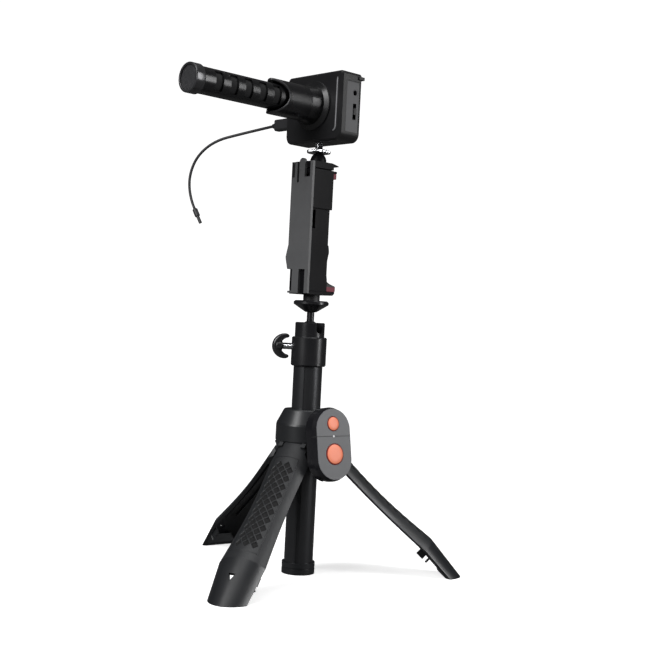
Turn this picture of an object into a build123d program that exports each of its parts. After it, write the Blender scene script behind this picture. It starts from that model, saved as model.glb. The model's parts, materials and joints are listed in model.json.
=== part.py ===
from build123d import *
import os
from math import atan, cos, radians, sin, sqrt, tan

# Selfie stick with three folding legs, a telescopic column, a ball head, a phone clamp, a shotgun
# microphone on top and a pull-off remote. Millimetres, +Z up, the origin on the column's axis at
# floor level. The microphone points along -Y and the phone sits on the +Y side.
# Azimuths are in degrees about the column, from -Y towards +X.

# Shared clearances
running = 0.05
sliding = 0.3
glue = 0.05

# Column
column_r = 10.25
column_wall = 1.1
column_top = 146.0
column_foot = 2.0
groove_width = 2.2
groove_depth = 0.5
groove_azimuth = 39.0
column_drop = 28.0
cap_r = column_r + 1.45
cap_height = 8.0
cap_thread_r = 2.6
cap_thread_length = 7.0
section_walls = (0.8, 0.7, 0.8)
bush_thickness = 0.75
bush_length = 12.0
section_foot = 12.0
section_foot_step = 1.0

# Hub
hub_r = column_r + 10.35
hub_foot = 93.8
hub_split = 104.6
hub_top = 115.8
hub_top_r = column_r + 5.35
hub_bush_r = column_r + 2.25
hub_bush_foot = 100.0
hub_screw_r = 1.1
hub_screw_head_r = 2.1
hub_screw_circle = column_r + 5.25

# Legs, described folded: s is the distance below the pivot and R the outer radius about the column
leg_azimuths = (22.84, 142.84, -97.16)
leg_splay = 47.0
pivot_r = column_r + 2.75
pivot_z = 94.3
pin_r = 1.25
pin_half = 13.5
ear_r = 3.8
ear_inner = 7.0
ear_outer = 10.0
ear_gap = 0.2
ear_pocket_gap = 0.4
leg_gap = 0.4
leg_wall = 2.4
leg_half_angle = 58.5
leg_shape = ((0.5, 7.15), (30.0, 6.05), (60.0, 5.75), (88.0, 7.45), (106.0, 9.15))
leg_curve = [(s, column_r + beyond) for s, beyond in leg_shape]
toe_s = 152.0
toe_r = column_r + 4.05
neck_half = 10.4
shoulder_s = 21.5
neck_s = 12.0
grip_top = 18.0
grip_foot = 100.0
grip_half_angle = 33.0
grip_depth = 1.0
rib_height = 1.5
rib_angle = 20.0
sole_inner_x = pivot_r + 90.0
sole_height = 9.0
sole_edge = 3.0
lanyard_s = 120.0
lanyard_width = 4.6
lanyard_height = 5.4

# Remote and its cradle, described with +X outward from the column
remote_azimuth = 82.84
remote_tilt = 10.0
remote_z = 93.0
remote_width = 31.0
remote_height = 51.0
remote_back = hub_r + 3.4
remote_split = remote_back + 5.5
remote_bevel_start = remote_back + 7.3
remote_face = remote_back + 11.0
remote_bevel = 18.0
remote_wall = 1.4
rail_foot = 80.0
rail_top = 104.0
rail_half = 6.0
rail_neck_half = 3.4
photo_button_r = 5.0
photo_button_z = 106.9
video_button_r = 7.25
video_button_z = 86.1
button_proud = 0.8
button_travel = 0.8

# Ball head, its heights taken from the column's top
collar_r = 12.4
collar_foot = column_top + sliding
collar_top = collar_foot + 20.6
socket_r = 10.5
socket_top = collar_top + 10.3
spigot_r = 9.2
spigot_foot = collar_top - 9.4
ball_r = 6.2
ball_z = collar_top + 5.6
stem_r = 2.65
notch_r = 3.1
cone_foot = socket_top + 7.3
cone_foot_r = 3.9
saucer_r = 12.45
saucer_z = socket_top + 12.8
saucer_edge = 1.6
saucer_top = saucer_z + 2.6
saucer_pad_r = 5.9
head_screw_r = 3.1
head_screw_length = 9.4
knob_azimuth = -38.5
knob_z = collar_foot + 13.5
knob_r = 9.0
knob_centre = 17.4
knob_thickness = 5.6
knob_screw_r = 2.5

# Phone clamp, its heights taken from the saucer
clamp_foot = saucer_top + 4.2
plate_back = -15.0
plate_front = -13.0
plate_half = 10.7
plate_top = clamp_foot + 93.2
plate_solid_foot = clamp_foot + 17.3
plate_solid_top = clamp_foot + 81.8
plate_slot_foot = clamp_foot + 78.2
recess_depth = 0.7
spine_half = 9.0
spine_front = 5.0
spine_top = clamp_foot + 63.7
channel_half = 6.3
channel_back = -11.3
channel_front = -3.7
channel_foot = clamp_foot + 9.2
base_half = 9.7
base_top = clamp_foot + 35.2
jaw_half = 9.5
blade_thickness = 2.6
lower_jaw_tip = 13.2
lower_pad_tip = 13.7
lower_pad_height = 6.1
carriage_wall = 0.9
carriage_half = spine_half + 0.35 + carriage_wall
carriage_front = spine_front + 0.4 + carriage_wall
carriage_foot = clamp_foot + 60.2
carriage_top = clamp_foot + 87.9
carriage_cap = 3.3
top_cap_height = 5.4
upper_jaw_tip = 10.9
upper_pad_height = 4.0
jaw_close = 20.0

# Microphone mount
boss_r = 5.7
boss_height = 6.6
boss_top_r = 3.4
stud_r = 2.9
stud_foot = plate_top - top_cap_height + 1.0
disc_r = 8.4
disc_foot = plate_top + boss_height + 0.4
disc_thickness = 2.1

# Microphone
mic_half = 28.0
mic_foot = plate_top + 14.0
mic_top = mic_foot + 48.0
mic_front = -7.4
mic_seam = 7.0
mic_back = 12.2
mic_wall = 2.2
mic_low_corner = 6.0
mic_top_corner = 2.5
mic_edge = 1.2
mic_axis_z = mic_foot + 25.5
mic_tube_r = 8.9
mic_tube_wall = 1.2
mic_tube_end = 113.0
mic_tube_seat = 10.0
liner_wall = 0.65
window_count = 5
window_first = 48.6
window_pitch = 12.5
window_length = 6.5
window_half_angle = 45.0
flare_r = 17.0
hood_r = 12.2
hood_end = 49.0
hood_side_end = 39.6
hood_bore_r = 10.4
grille_r = 9.9
grille_end = mic_tube_end + 5.4
lip_drop = 2.4
lip_height = 2.2
side_y = 6.0
jack_z = mic_foot + 34.0
jack_r = 1.85
jack_length = 10.0
switch_z = mic_foot + 20.9
switch_travel = 2.5

# Cable from the microphone: a thin lead that hangs in one curve and ends in a small plug
cable_d = 2.1
plug_z = mic_foot + 16.6
plug_length = 17.6
plug_height = 8.4
plug_depth = 6.4
boot_length = 4.4
cable_points = (
    (-50.0, 0.0, 320.6),
    (-60.0, -1.0, 319.6),
    (-78.0, -8.0, 315.9),
    (-96.0, -17.5, 311.0),
    (-109.5, -23.5, 299.8),
    (-115.3, -26.0, 284.0),
    (-113.4, -25.3, 267.5),
    (-109.2, -23.8, 259.4),
)
end_plug_r = 2.0
end_plug_length = 6.5
end_tip_r = 1.25
end_tip_length = 6.0

nodes = {}


def post(r, low, high, x=0.0, y=0.0):
    """Upright cylinder between two heights."""
    return Pos(x, y, (low + high) / 2) * Cylinder(r, high - low)


def ring(outer, inner, low, high):
    """Upright ring between two heights."""
    return post(outer, low, high) - post(inner, low - 1, high + 1)


def block(x0, x1, y0, y1, z0, z1):
    """Box between its low and high corners."""
    return Pos((x0 + x1) / 2, (y0 + y1) / 2, (z0 + z1) / 2) * Box(x1 - x0, y1 - y0, z1 - z0)


def turned(points):
    """Solid turned about Z from a closed outline of (radius, height) points."""
    return revolve(Plane.XZ * make_face(Polyline(*points, close=True)), Axis.Z)


def toward(azimuth, part):
    """Turns a part drawn with +X outward to face an azimuth."""
    return Rot(0, 0, azimuth - 90) * part


def forward(part):
    """Lays a part drawn along +Z on the microphone's axis, pointing forward."""
    return Pos(0, 0, mic_axis_z) * Rot(90, 0, 0) * part


# ---------------------------------------------------------------- column and its sections


def section_radii():
    """Outer and inner radius of each nested tube, outermost first."""
    radii = [(column_r, column_r - column_wall)]
    for wall in section_walls:
        outer = radii[-1][1] - running - bush_thickness
        radii.append((outer, outer - wall))
    return radii


def main_tube():
    outer, inner = section_radii()[0]
    groove = block(outer - groove_depth, outer + 1, -groove_width / 2, groove_width / 2, 0, column_top + 1)
    return ring(outer, inner, column_foot, column_top) - toward(groove_azimuth, groove)


def end_cap():
    outer, inner = section_radii()[0]
    cap = post(cap_r, 0, cap_height)
    cap -= ring(outer, inner, column_foot, cap_height + 1)
    cap -= ring(cap_r + 1, cap_r - 0.5, cap_height * 0.48, cap_height * 0.6)
    cap -= post(cap_thread_r, -1, cap_thread_length)
    return cap


def top_bush(index):
    """Bush glued inside the top of a tube, in which the next section slides."""
    outer = section_radii()[index + 1][0] + running
    return ring(section_radii()[index][1], outer, column_top - bush_length, column_top)


def section_foot_z(index):
    return section_foot + (index - 1) * section_foot_step


def low_bush(index):
    """Bush on the foot of a section, which slides in the tube around it."""
    low = section_foot_z(index)
    return ring(section_radii()[index - 1][1] - running, section_radii()[index][0], low, low + bush_length)


def section(index):
    outer, inner = section_radii()[index]
    return ring(outer, inner, section_foot_z(index), column_top)


nodes["main_tube"] = main_tube()
nodes["end_cap"] = end_cap()
nodes["main_tube_bush"] = top_bush(0)
nodes["tube_2"] = section(1)
nodes["tube_2_bushes"] = [low_bush(1), top_bush(1)]
nodes["tube_3"] = section(2)
nodes["tube_3_bushes"] = [low_bush(2), top_bush(2)]
nodes["tube_4"] = section(3)
nodes["tube_4_bush"] = low_bush(3)


# ---------------------------------------------------------------- hub


def hub_outline(low, high):
    """Outer shape of the hub: a drum below a cone."""
    drum = post(hub_r, hub_foot, hub_split)
    cone = turned(((0, hub_split), (hub_r, hub_split), (hub_r - 0.3, hub_split + 1.4),
                   (hub_top_r, hub_top - 0.6), (hub_top_r - 0.6, hub_top), (0, hub_top)))
    return (drum + cone) & block(-hub_r, hub_r, -hub_r, hub_r, low, high)


def across(r, half, x, z):
    """Round bar along the leg's tangent, centred on the leg's plane."""
    return Pos(x, 0, z) * Rot(90, 0, 0) * Cylinder(r, 2 * half)


def ear_pocket(side):
    low, high = ear_inner - ear_gap, ear_outer + ear_gap
    r = ear_r + ear_pocket_gap
    slot = across(r, 30, pivot_r, pivot_z) + block(pivot_r - r, pivot_r + r, -30, 30, hub_foot - 1, pivot_z)
    band = block(0, 40, low, high, 0, 200) if side > 0 else block(0, 40, -high, -low, 0, 200)
    return slot & band


def hub_screw(azimuth):
    shaft = post(hub_screw_r, hub_foot + 1.5, hub_split + 6, hub_screw_circle)
    head = post(hub_screw_head_r, hub_foot + 0.2, hub_foot + 2, hub_screw_circle)
    return toward(azimuth, shaft + head)


def hub_screw_space(azimuth):
    shaft = post(hub_screw_r, hub_foot - 1, hub_split + 6, hub_screw_circle)
    head = post(hub_screw_head_r, hub_foot - 1, hub_foot + 2, hub_screw_circle)
    return toward(azimuth, shaft + head)


def hub_part(low, high):
    part = hub_outline(low, high) - post(column_r + 2 * running, low - 1, high + 1)
    part -= post(hub_bush_r, hub_bush_foot, high + 1 if high < hub_top else hub_top - 0.8)
    for azimuth in leg_azimuths:
        if low < pivot_z:
            part -= toward(azimuth, ear_pocket(1))
            part -= toward(azimuth, ear_pocket(-1))
            part -= toward(azimuth, across(pin_r, pin_half, pivot_r, pivot_z))
        part -= hub_screw_space(azimuth + 60)
    return part


nodes["hub_body"] = hub_part(hub_foot, hub_split)
nodes["hub_crown"] = hub_part(hub_split, hub_top)
nodes["column_bush"] = ring(hub_bush_r, column_r + running, hub_bush_foot, hub_top - 0.8)
nodes["hinge_pins"] = [toward(a, across(pin_r, pin_half, pivot_r, pivot_z)) for a in leg_azimuths]
nodes["hub_screws"] = [hub_screw(a + 60) for a in leg_azimuths]


# ---------------------------------------------------------------- legs


def leg_sector(points, half_angle):
    """Sector about the column's axis of a closed (radius, height) outline or face."""
    face = points if isinstance(points, Face) else make_face(Polyline(*points, close=True))
    return Rot(0, 0, -half_angle) * revolve(Plane.XZ * face, Axis.Z, 2 * half_angle)


def curve_face(outer_inset, inner_inset, s_top, s_foot):
    """Wall between two insets of the leg's outer curve, cut to a stretch of it."""
    def line(inset):
        return Spline(*[(r - inset, pivot_z - s) for s, r in leg_curve])
    outer, inner = line(outer_inset), line(inner_inset)
    face = make_face([outer, inner, Line(outer @ 0, inner @ 0), Line(outer @ 1, inner @ 1)])
    keep = Pos(20, pivot_z - (s_top + s_foot) / 2) * Rectangle(60, s_foot - s_top)
    return (face & keep).faces()[0]


def splay(part):
    """Swings a folded leg out to its open stop."""
    return Pos(pivot_r, 0, pivot_z) * Rot(0, -leg_splay, 0) * Pos(-pivot_r, 0, -pivot_z) * part


def shoulder(side):
    """Corner taken off the head of a leg, so that it clears the remote."""
    full = leg_curve[-1][1]
    middle = (neck_half + 2.0, neck_s + 2.7)
    edge = [
        Line((neck_half, -20), (neck_half, neck_s)),
        ThreePointArc((neck_half, neck_s), middle, (neck_half + 4.6, shoulder_s)),
        Line((neck_half + 4.6, shoulder_s), (full + 8, shoulder_s)),
        Line((full + 8, shoulder_s), (full + 8, -20)),
        Line((full + 8, -20), (neck_half, -20)),
    ]
    downward = Plane(origin=(0, 0, pivot_z), x_dir=(0, side, 0), z_dir=(-side, 0, 0))
    return extrude(downward * make_face(edge), 40, both=True)



def leg_shell():
    ankle = leg_curve[-1][0]
    shell = leg_sector(curve_face(0, leg_wall, leg_curve[0][0], ankle), leg_half_angle)
    shell -= leg_sector(curve_face(-1, grip_depth, grip_top, grip_foot), grip_half_angle)
    for angle in (-rib_angle, rib_angle):
        rib = leg_sector(curve_face(leg_wall - 0.3, leg_wall + rib_height, 32, ankle - 2), 2)
        shell += Rot(0, 0, angle) * rib
    shell -= shoulder(1)
    shell -= shoulder(-1)
    envelope = leg_sector(curve_face(grip_depth + 0.2, 12, leg_curve[0][0], 40), leg_half_angle)
    for side in (-1, 1):
        low, high = sorted((side * ear_inner, side * ear_outer))
        web = block(pivot_r - ear_r, pivot_r + ear_r + 4, low, high, pivot_z - 27, pivot_z)
        shell += web & envelope
    shell -= block(-40, 40, -40, 40, hub_foot - leg_gap, pivot_z + 40)
    shell = splay(shell)
    shell -= block(-60, 60, -40, 40, hub_foot - leg_gap, pivot_z + 60)
    for side in (-1, 1):
        low, high = sorted((side * ear_inner, side * ear_outer))
        shell += across(ear_r, 30, pivot_r, pivot_z) & block(0, 40, low, high, 0, 200)
        neck = splay(block(pivot_r - ear_r, pivot_r + ear_r, low, high, pivot_z - 9, pivot_z))
        shell += neck & block(0, 60, low, high, 0, hub_foot - leg_gap)
    return shell - across(pin_r + running, 30, pivot_r, pivot_z)


def leg_grip():
    face = curve_face(0, grip_depth - glue, grip_top + glue, grip_foot - glue)
    return splay(leg_sector(face, grip_half_angle - 0.2))


def foot():
    """Foot cap: a hollow toe with a solid tread, a latch fin and peg inside, and a lanyard hole."""
    ankle_s, ankle_r = leg_curve[-1]
    wall = ((ankle_r, pivot_z - ankle_s), (toe_r, pivot_z - toe_s),
            (toe_r - leg_wall, pivot_z - toe_s), (ankle_r - leg_wall, pivot_z - ankle_s))
    solid = ((0, pivot_z - ankle_s), (ankle_r, pivot_z - ankle_s), (toe_r, pivot_z - toe_s),
             (0, pivot_z - toe_s))
    shell = leg_sector(wall, leg_half_angle)
    inner_r = ankle_r - leg_wall + 0.8
    shell += block(4.4, 10.6, 11.7, 13.2, pivot_z - 116, pivot_z - 110)
    shell += Pos(7.5, 12.4, pivot_z - 119.5) * Rot(0, 90, 0) * Cylinder(0.8, 6.2)
    hole = Polyline((-lanyard_width / 2, 0), (lanyard_width / 2, 0), (0, -lanyard_height), close=True)
    shell -= extrude(Plane(origin=(inner_r - 8, 0, pivot_z - lanyard_s + 2.5), x_dir=(0, 1, 0),
                           z_dir=(1, 0, 0)) * make_face(hole), 20)
    tread = block(sole_inner_x, 200, -40, 40, 0, sole_height)
    tread = fillet(tread.edges().filter_by(Axis.Y).sort_by(Axis.Z)[:2].sort_by(Axis.X)[0], sole_edge)
    shell = splay(shell) & block(0, 200, -40, 40, 0, 200)
    return shell + (splay(leg_sector(solid, leg_half_angle)) & tread)


shell, grip, toe = leg_shell(), leg_grip(), foot()
for number, azimuth in enumerate(leg_azimuths, 1):
    nodes[f"leg_{number}_shell"] = toward(azimuth, shell)
    nodes[f"leg_{number}_grip"] = toward(azimuth, grip)
    nodes[f"leg_{number}_foot"] = toward(azimuth, toe)


# ---------------------------------------------------------------- remote


def on_remote(part):
    """Leans a part of the remote out at its foot and turns it to its azimuth."""
    at_hinge = Pos(-remote_back, 0, -remote_z) * part
    return toward(remote_azimuth, Pos(remote_back, 0, remote_z) * Rot(0, -remote_tilt, 0) * at_hinge)


def pill(inset, x0, x1, taper=0.0):
    """Upright slab with round ends, inset from the remote's outline."""
    width, height = remote_width - 2 * inset, remote_height - 2 * inset
    face = Plane.YZ.offset(x0) * (Pos(0, remote_z) * SlotOverall(height, width, 90))
    return extrude(face, x1 - x0, taper=taper)


def drum(r, x0, x1, z):
    """Round disc facing outward."""
    return Pos((x0 + x1) / 2, 0, z) * Rot(0, 90, 0) * Cylinder(r, x1 - x0)


rail_face = remote_back - 0.6


def cradle():
    plate = block(rail_face - 2.2, rail_face, -9, 9, 76, 112)
    rail = block(rail_face, remote_back + 1.5, -rail_neck_half, rail_neck_half, rail_foot, rail_top)
    rail += block(remote_back + 1.4, remote_back + 2.7, -rail_half, rail_half, rail_foot, rail_top)
    neck = block(12, rail_face - 2.1, -7, 7, 95, 110)
    return on_remote(plate + rail + neck) - hub_outline(hub_foot, hub_top) - post(hub_r, 0, hub_split)


def remote_back_shell():
    shell = pill(0, remote_back, remote_split) - pill(remote_wall, remote_back + 1.3, remote_split + 1)
    housing = block(remote_back, remote_back + 3.8, -rail_half - 1.6, rail_half + 1.6, 60, rail_top + 2)
    shell += housing & pill(0.2, remote_back, remote_split)
    shell -= block(remote_back + 1.1, remote_back + 3.0, -rail_half - 0.3, rail_half + 0.3,
                   50, rail_top + 0.3)
    shell -= block(remote_back - 1, remote_back + 1.2, -rail_neck_half - 0.3, rail_neck_half + 0.3,
                   50, rail_top + 0.3)
    return on_remote(shell)


def remote_front_shell():
    shell = pill(0, remote_split, remote_bevel_start)
    shell += pill(0, remote_bevel_start, remote_face, remote_bevel)
    shell -= pill(remote_wall, remote_split - 1, remote_bevel_start)
    shell -= pill(remote_wall + 1.3, remote_bevel_start - 0.1, remote_face - 2.0)
    for r, z in ((photo_button_r, photo_button_z), (video_button_r, video_button_z)):
        shell -= drum(r + 0.2, remote_split, remote_face + 1, z)
    return on_remote(shell)


def button(r, z):
    """Round key with a flange that holds it behind the face."""
    key = drum(r, remote_face - 2.2, remote_face + button_proud, z)
    key = fillet(key.edges().sort_by(Axis.X)[-1], 0.5)
    return on_remote(key + drum(r + 1.0, remote_face - 3.1, remote_face - 2.1, z))


nodes["remote_cradle"] = cradle()
nodes["remote_back_shell"] = remote_back_shell()
nodes["remote_front_shell"] = remote_front_shell()
nodes["photo_button"] = button(photo_button_r, photo_button_z)
nodes["video_button"] = button(video_button_r, video_button_z)
nodes["remote_board"] = on_remote(pill(3.0, remote_back + 5.7, remote_back + 6.5))
nodes["coin_cell"] = on_remote(drum(10.0, remote_back + 3.95, remote_back + 5.55, video_button_z + 2))


# ---------------------------------------------------------------- ball head


def knob_frame(part):
    """Turns a part drawn along +X, from the column's axis at the knob's height, to the knob."""
    return toward(knob_azimuth, Pos(0, 0, knob_z) * part)


def bar_x(r, x0, x1):
    return Pos((x0 + x1) / 2, 0, 0) * Rot(0, 90, 0) * Cylinder(r, x1 - x0)


def head_collar():
    plug_r = section_radii()[3][1]
    edge = 0.8
    body = turned(((0, collar_foot), (collar_r - edge, collar_foot), (collar_r, collar_foot + edge),
                   (collar_r, collar_top - edge), (collar_r - edge, collar_top), (0, collar_top)))
    body += post(plug_r, column_top - bush_length - 4, collar_foot)
    body -= post(spigot_r + running, spigot_foot - 0.5, collar_top + 1)
    return body - knob_frame(bar_x(knob_screw_r + running, spigot_r - 1, collar_r + 1))


def ball_socket():
    edge = 0.6
    body = turned(((0, collar_top), (socket_r, collar_top), (socket_r, socket_top - edge),
                   (socket_r - edge, socket_top), (0, socket_top)))
    body += post(spigot_r, spigot_foot, collar_top)
    body -= post(ball_r + running, spigot_foot - 1, ball_z)
    body -= Pos(0, 0, ball_z) * Sphere(ball_r + running)
    lip = 2.0
    lip_r = sqrt((ball_r + running) ** 2 - lip ** 2)
    mouth = socket_top + 0.01
    body -= turned(((0, ball_z), (lip_r, ball_z + lip), (lip_r + 1.7, mouth), (0, mouth)))
    body -= Pos(0, 0, ball_z) * bar_x(notch_r, 0, socket_r + 1)
    body -= block(0, socket_r + 1, -notch_r, notch_r, ball_z, socket_top + 1)
    return body


def ball_seat():
    seat = post(ball_r, spigot_foot + 0.8, ball_z - 3.0)
    return seat - Pos(0, 0, ball_z) * Sphere(ball_r + running)


def ball_stud():
    stud = Pos(0, 0, ball_z) * Sphere(ball_r)
    stud += turned(((0, ball_z), (stem_r, ball_z), (stem_r, cone_foot), (cone_foot_r, cone_foot),
                    (saucer_r - 0.5, saucer_z - 0.4), (saucer_r, saucer_z),
                    (saucer_r, saucer_z + saucer_edge), (saucer_r - 1.2, saucer_top), (0, saucer_top)))
    return stud + post(head_screw_r, saucer_top - 1, saucer_top + head_screw_length)


def wing_knob():
    """Crescent wings swept back towards the collar, pierced by their screw."""
    disc = Pos(knob_centre, 0, 0) * Rot(90, 0, 0) * Cylinder(knob_r, knob_thickness)
    bite_r = 6.2
    disc -= Pos(knob_centre - 3.6, 0, 0) * Rot(90, 0, 0) * Cylinder(bite_r, knob_thickness + 2)
    disc &= block(collar_r + 1.4, 60, -20, 20, -20, 20)
    hub = bar_x(3.6, knob_centre + 1.6, knob_centre + 6)
    return knob_frame(disc + hub - bar_x(knob_screw_r, 0, knob_centre + 4.5))


nodes["head_collar"] = head_collar()
nodes["knob_screw"] = knob_frame(bar_x(knob_screw_r, spigot_r + 0.15, knob_centre + 4.5))
nodes["wing_knob"] = wing_knob()
nodes["ball_socket"] = ball_socket()
nodes["ball_seat"] = ball_seat()
nodes["ball_stud"] = ball_stud()
nodes["saucer_pad"] = ring(saucer_pad_r, head_screw_r, saucer_top, clamp_foot - 0.1)


# ---------------------------------------------------------------- phone clamp


def profile(points, half):
    """Bar across the clamp from a closed outline of (y, height above the clamp's foot) points."""
    face = make_face(Polyline(*[(0, y, clamp_foot + z) for y, z in points], close=True))
    return extrude(face, half, dir=(1, 0, 0), both=True)


def clamp_frame():
    waist = ((plate_front, 2.6), (spine_front, 2.6), (spine_front, 11.0), (4.4, 14.0), (4.4, 24.0),
             (spine_front + 0.8, 30.5), (spine_front, 35.2), (plate_front, 35.2))
    blade = ((plate_front, 0.0), (lower_jaw_tip - 2.0, 0.0), (lower_jaw_tip, 1.6),
             (lower_jaw_tip, blade_thickness), (plate_front, blade_thickness))
    frame = profile(waist, base_half) + profile(blade, jaw_half)
    frame += block(-spine_half, spine_half, plate_front, spine_front, base_top - 0.1, spine_top)
    frame -= block(-channel_half, channel_half, channel_back, channel_front, channel_foot, spine_top + 1)
    frame -= block(-20, 20, channel_back, channel_back + 2.6, base_top + 11, base_top + 24)
    return frame - post(head_screw_r + running, clamp_foot - 1, saucer_top + head_screw_length + 1)


def back_plate():
    plate = block(-plate_half, plate_half, plate_back, plate_front, clamp_foot + 0.6, plate_top - 0.4)
    tongue = Plane.XZ.offset(-plate_front) * Pos(-0.25, plate_top - 6) * SlotOverall(16, 5.7, 90)
    for x0, x1, low in ((-5.0, -3.1, plate_slot_foot), (2.6, 8.2, plate_solid_top)):
        plate -= block(x0, x1, plate_back - 1, plate_front + 1, low, plate_top + 1)
    plate -= block(-10.1, -7.4, plate_back - 1, plate_back + recess_depth, plate_solid_top, plate_top + 1)
    for x0, x1 in ((-plate_half - 1, -5.5), (1.3, 7.4)):
        plate -= block(x0, x1, plate_back - 1, plate_front + 1, clamp_foot - 1, plate_solid_foot)
    plate += block(-9.4, -5.4, plate_back, plate_front, clamp_foot + 0.6, clamp_foot + 2.0)
    plate += extrude(tongue, plate_front - plate_back)
    bulge = clamp_foot + 26.4
    ear = Polyline((-plate_half, bulge + 8), (-plate_half - 2.2, bulge), (-plate_half - 2.2, bulge - 1.5),
                   (-plate_half, plate_solid_foot), close=True)
    return plate + extrude(Plane.XZ.offset(-plate_front) * make_face(ear), plate_front - plate_back)


def lower_jaw_pad():
    """Silicone pad along the lower jaw, sloped up to the waist of the frame."""
    low, tip = blade_thickness, lower_pad_tip
    top = low + lower_pad_height
    return profile(((spine_front + glue, low), (tip - 0.5, low), (tip, low + 0.6), (tip, low + 4.0),
                    (tip - 6.2, top - 0.2), (spine_front + glue, top + 1.2)), jaw_half)


def upper_jaw():
    back = plate_front + 0.4
    jaw = block(-carriage_half, carriage_half, back, carriage_front, carriage_foot, carriage_top)
    jaw -= block(-spine_half - 0.35, spine_half + 0.35, back - 1, spine_front + 0.4,
                 carriage_foot - 1, carriage_top - carriage_cap)
    jaw += block(-jaw_half, jaw_half, carriage_front - 1, upper_jaw_tip - 0.8,
                 carriage_top - 1.6, carriage_top)
    rider_foot = channel_foot + jaw_close + 6
    return jaw + block(-channel_half + sliding, channel_half - sliding, channel_back + sliding,
                       channel_front - sliding, rider_foot, carriage_top - carriage_cap + 1)


def upper_jaw_pad():
    top = carriage_top - 1.6
    return block(-jaw_half + 0.3, jaw_half - 0.3, carriage_front, upper_jaw_tip - 0.9,
                 top - upper_pad_height, top)


def top_cap():
    """Fixed bridge over the jaw, joined to the back plate, with a thin tip and the boss for the stud."""
    rise = plate_top - clamp_foot
    low = rise - top_cap_height + 0.6
    outline = ((plate_front, low), (carriage_front, low), (carriage_front, rise - 2.6),
               (upper_jaw_tip, rise - 2.0), (upper_jaw_tip, rise - 1.3), (5.0, rise), (plate_front, rise))
    boss = turned(((0, plate_top - 1), (boss_r, plate_top - 1), (boss_r, plate_top + 2.4),
                   (boss_r - 0.8, plate_top + 4.6), (boss_top_r, plate_top + boss_height),
                   (0, plate_top + boss_height)))
    bore = post(stud_r, stud_foot, plate_top + boss_height + 1)
    return profile(outline, carriage_half - 0.3) + boss - bore


nodes["clamp_frame"] = clamp_frame()
nodes["clamp_back_plate"] = back_plate()
nodes["lower_jaw_pad"] = lower_jaw_pad()
nodes["upper_jaw"] = upper_jaw()
nodes["upper_jaw_pad"] = upper_jaw_pad()
nodes["top_cap"] = top_cap()
nodes["mic_stud"] = post(stud_r, stud_foot, mic_foot + 5.0)
nodes["lock_disc"] = ring(disc_r, stud_r + running, disc_foot, disc_foot + disc_thickness)


# ---------------------------------------------------------------- microphone


def mic_block(inset, y0, y1):
    """Upright block with the microphone case's rounded corners, inset from its outline."""
    height = mic_top - mic_foot - 2 * inset
    face = Pos(0, (mic_top + mic_foot) / 2) * Rectangle(2 * (mic_half - inset), height)
    corners = face.vertices().sort_by(Axis.Y)
    face = fillet(corners[:2], mic_low_corner - inset * 0.8)
    face = fillet(face.vertices().sort_by(Axis.Y)[-2:], max(mic_top_corner - inset * 0.8, 0.4))
    return extrude(Plane.XZ.offset(-y1) * face, y1 - y0)


def side_cuts(part):
    """Takes the shallow side panel, the jack's hole and the switch's slot out of a shell."""
    part -= block(mic_half - 0.5, mic_half + 1, -2.5, mic_back - 2, mic_foot + 6.4, mic_top - 6.4)
    part -= Pos(mic_half, side_y, jack_z) * Rot(0, 90, 0) * Cylinder(2.9, 12)
    part -= block(mic_half - 6, mic_half + 1, side_y - 1.6, side_y + 1.6, switch_z - 5.6, switch_z + 5.6)
    return part


def base_recess():
    return block(-22, 22, -5.5, 10.5, mic_foot - 1, mic_foot + 1.2)


def stud_hole():
    return post(stud_r + running, mic_foot - 1, mic_foot + 6)


def mic_front_shell():
    outer = mic_block(0, mic_front, mic_seam)
    outer = chamfer(outer.faces().sort_by(Axis.Y)[0].edges(), mic_edge)
    shell = outer - mic_block(mic_wall, mic_front + mic_wall, mic_seam + 1)
    shell += block(-7, 7, -6, mic_seam, mic_foot + 1, mic_foot + 6)
    shell -= forward(post(8.0, 0, 12))
    shell -= Pos(-mic_half, 0, plug_z) * Rot(0, 90, 0) * Cylinder(1.75, 12)
    return side_cuts(shell) - base_recess() - stud_hole()


def mic_rear_shell():
    outer = mic_block(0, mic_seam, mic_back)
    outer = chamfer(outer.faces().sort_by(Axis.Y)[-1].edges(), mic_edge)
    lip_top = mic_top - lip_drop
    outer += block(-mic_half - 1.2, mic_half + 1.2, mic_back - 4.2, mic_back + 0.8,
                   lip_top - lip_height, lip_top)
    shell = outer - mic_block(mic_wall, mic_seam - 1, mic_back - mic_wall)
    return side_cuts(shell) - base_recess()


def mic_collar():
    """Flared socket that carries the tube, with an open hood scalloped at its sides."""
    front = -mic_front
    body = turned(((0, front), (flare_r, front), (flare_r, front + 1.4), (14.0, front + 3.2),
                   (hood_r, front + 12), (hood_r, hood_end), (0, hood_end)))
    body += post(8.0, front - mic_wall, front)
    body -= post(6.0, 0, mic_tube_seat)
    body -= post(mic_tube_r, mic_tube_seat, 30)
    body -= post(hood_bore_r, 28, hood_end + 1)
    depth = hood_end - hood_side_end
    scallop_r = (hood_r ** 2 + depth ** 2) / (2 * depth)
    return forward(body - Pos(0, 0, hood_side_end + scallop_r) * Rot(0, 90, 0) * Cylinder(scallop_r, 60))


def window(centre):
    """Pair of slots in the tube's sides."""
    low, high = centre - window_length / 2, centre + window_length / 2
    reach = 20.0
    rise = reach * tan(radians(window_half_angle))
    wedge = Polyline((0, 0), (reach, rise), (reach, -rise), close=True)
    side = extrude(Plane.XY.offset(low) * make_face(wedge), high - low)
    cut = side + Rot(0, 0, 180) * side
    return cut & ring(mic_tube_r + 1, mic_tube_r - mic_tube_wall - 0.5, low, high)


def mic_tube():
    tube = ring(mic_tube_r, mic_tube_r - mic_tube_wall, mic_tube_seat, mic_tube_end)
    for index in range(window_count):
        tube -= window(window_first + index * window_pitch)
    return forward(tube)


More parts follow.
